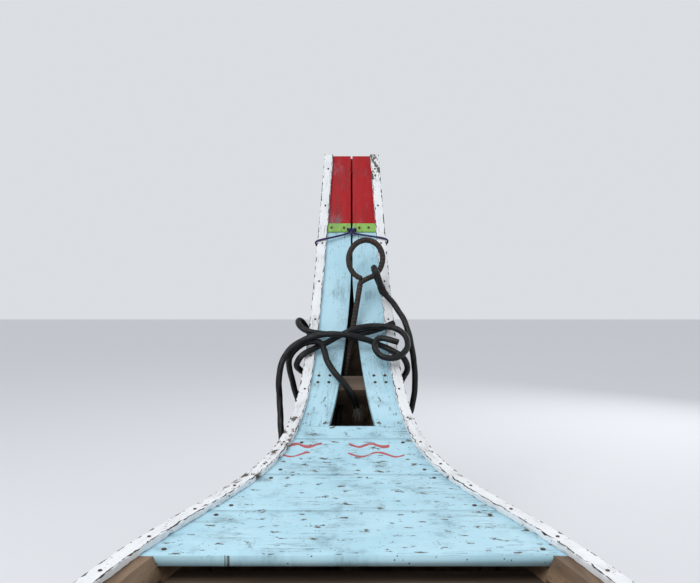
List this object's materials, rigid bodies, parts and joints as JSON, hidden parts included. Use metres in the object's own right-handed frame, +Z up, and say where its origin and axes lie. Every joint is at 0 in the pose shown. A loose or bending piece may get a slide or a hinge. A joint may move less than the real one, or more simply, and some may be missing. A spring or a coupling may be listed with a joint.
{
  "type": "canoe",
  "caption": "Plank-built lake canoe with tall upswept ends, a slotted prow face, decked ends, thwarts, lift-out floorboards and an iron mooring stake with its rope.",
  "frame": {"origin": "on the ground under the middle of the flat bottom", "axes": "+Y forward to the bow, +X starboard, +Z up"},
  "size_m": [0.948, 6.101, 1.3664],
  "materials": {
    "white_paint": "chipped white paint on wood",
    "blue_paint": "pale blue paint on planks, cracked and chipped, red at the tip",
    "green_paint": "green paint on wood",
    "iron_nail": "dull iron",
    "rusty_iron": "dark rust",
    "purple_cord": "thin braided cord",
    "black_rope": "worn black synthetic rope",
    "tarred_wood": "tarred outer planks",
    "bare_wood": "oiled bare timber"
  },
  "bodies": {
    "hull": {"aft_thwart": "bare_wood", "band_nails": "iron_nail", "bottom_plank_centre": "tarred_wood", "bottom_plank_port": "tarred_wood", "bottom_plank_starboard": "tarred_wood", "bow_band_strips": "green_paint", "bow_breast_beam": "bare_wood", "bow_cap_rail_port": "white_paint", "bow_cap_rail_starboard": "white_paint", "bow_cross_plank": "blue_paint", "bow_deck_beams": "bare_wood", "bow_deck_ledgers": "bare_wood", "bow_deck_plank_1": "blue_paint", "bow_deck_plank_2": "blue_paint", "bow_deck_plank_3": "blue_paint", "bow_face_plank_port": "blue_paint", "bow_face_plank_starboard": "blue_paint", "bow_inwale_port": "bare_wood", "bow_inwale_starboard": "bare_wood", "bow_lower_plank_port": "tarred_wood", "bow_lower_plank_starboard": "tarred_wood", "bow_stem_plank": "tarred_wood", "bow_tip_block": "bare_wood", "bow_upper_plank_port": "tarred_wood", "bow_upper_plank_starboard": "tarred_wood", "cap_nails": "iron_nail", "deck_nails": "iron_nail", "floor_timbers": "bare_wood", "fore_thwart": "bare_wood", "mooring_rope_main": "black_rope", "mooring_rope_short": "black_rope", "purple_tie": "purple_cord", "purple_tie_knot": "purple_cord", "side_ribs": "bare_wood", "stern_breast_beam": "bare_wood", "stern_cap_rail_port": "white_paint", "stern_cap_rail_starboard": "white_paint", "stern_cross_plank": "blue_paint", "stern_deck_beams": "bare_wood", "stern_deck_ledgers": "bare_wood", "stern_deck_plank_1": "blue_paint", "stern_deck_plank_2": "blue_paint", "stern_deck_plank_3": "blue_paint", "stern_face_plank_port": "blue_paint", "stern_face_plank_starboard": "blue_paint", "stern_inwale_port": "bare_wood", "stern_inwale_starboard": "bare_wood", "stern_lower_plank_port": "tarred_wood", "stern_lower_plank_starboard": "tarred_wood", "stern_stem_plank": "tarred_wood", "stern_tip_block": "bare_wood", "stern_upper_plank_port": "tarred_wood", "stern_upper_plank_starboard": "tarred_wood", "thwart_risers": "bare_wood"},
    "stake": {"mooring_stake": "rusty_iron", "rope_eye": "black_rope", "rope_eye_whipping": "black_rope"},
    "fore_floor_panel": {"fore_floorboards": "bare_wood"},
    "middle_floor_panel": {"middle_floorboards": "bare_wood"},
    "aft_floor_panel": {"aft_floorboards": "bare_wood"}
  },
  "joints": [
    {"name": "stake_lift", "type": "slide", "parent": "hull", "child": "stake", "axis": [0.1597, 0.1936, 0.968], "range_m": [0, 0.08]},
    {"name": "fore_panel_lift", "type": "slide", "parent": "hull", "child": "fore_floor_panel", "axis": [0, 0, 1], "range_m": [0, 0.45]},
    {"name": "middle_panel_lift", "type": "slide", "parent": "hull", "child": "middle_floor_panel", "axis": [0, 0, 1], "range_m": [0, 0.45]},
    {"name": "aft_panel_lift", "type": "slide", "parent": "hull", "child": "aft_floor_panel", "axis": [0, 0, 1], "range_m": [0, 0.45]}
  ]
}
